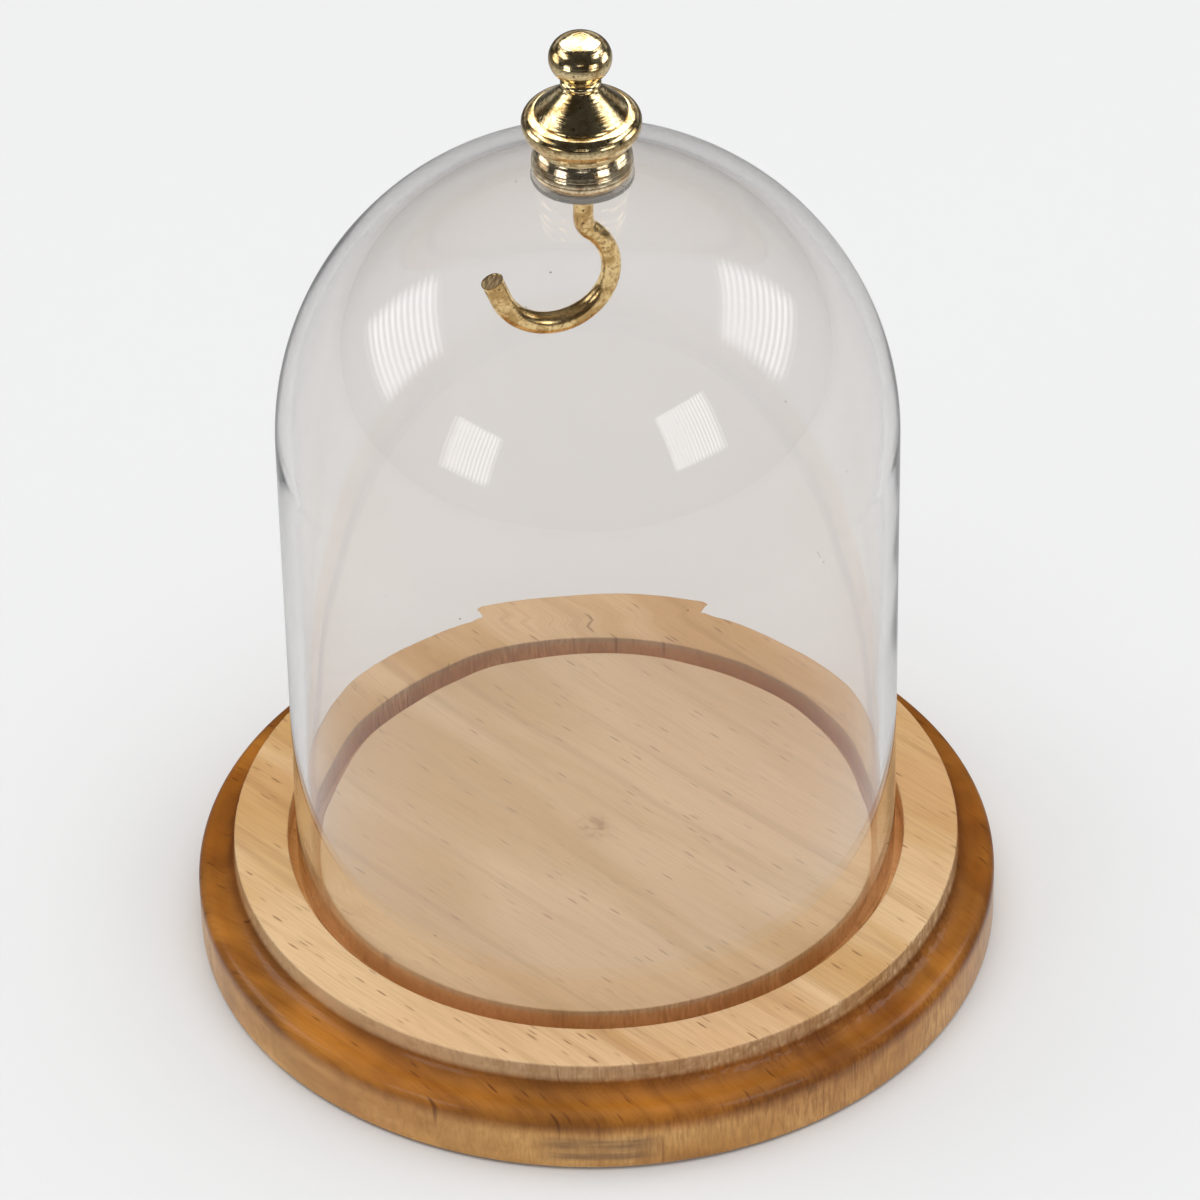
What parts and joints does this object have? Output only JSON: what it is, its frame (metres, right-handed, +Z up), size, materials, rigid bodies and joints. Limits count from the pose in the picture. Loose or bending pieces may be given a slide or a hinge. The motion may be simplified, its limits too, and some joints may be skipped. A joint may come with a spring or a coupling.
{
  "type": "bell jar display dome",
  "caption": "Glass bell jar on a turned wooden base, with a brass knob on its crown and a brass hook inside to hang a small object on show.",
  "frame": {"origin": "centre of the underside, on the surface that the base stands on", "axes": "+Z up along the dome's axis; the picture looks along +Y and down, with +X to its right"},
  "size_m": [0.1016, 0.1016, 0.1329],
  "materials": {
    "beech_wood": "oiled beech, satin, with short dark flecks along the grain",
    "felt": "pressed wool felt, matt",
    "clear_glass": "clear blown glass, gloss",
    "clear_plastic": "clear nylon, gloss",
    "polished_brass": "turned and polished, fine turning lines",
    "hook_brass": "bright wire with small pits"
  },
  "bodies": {
    "base": {"wooden_base": "beech_wood", "felt_pad": "felt"},
    "dome": {"glass_dome": "clear_glass", "shoulder_washer": "clear_plastic", "inner_washer": "clear_plastic"},
    "knob": {"brass_collar": "polished_brass", "finial": "polished_brass", "hook": "hook_brass"}
  },
  "joints": [
    {"name": "dome_lift", "type": "slide", "parent": "base", "child": "dome", "axis": [0, 0, 1], "range_m": [0, 0.12]},
    {"name": "hook_turn", "type": "hinge", "parent": "dome", "child": "knob", "pos_m": [0, 0, 0.1143], "axis": [0, 0, 1], "continuous": true}
  ]
}
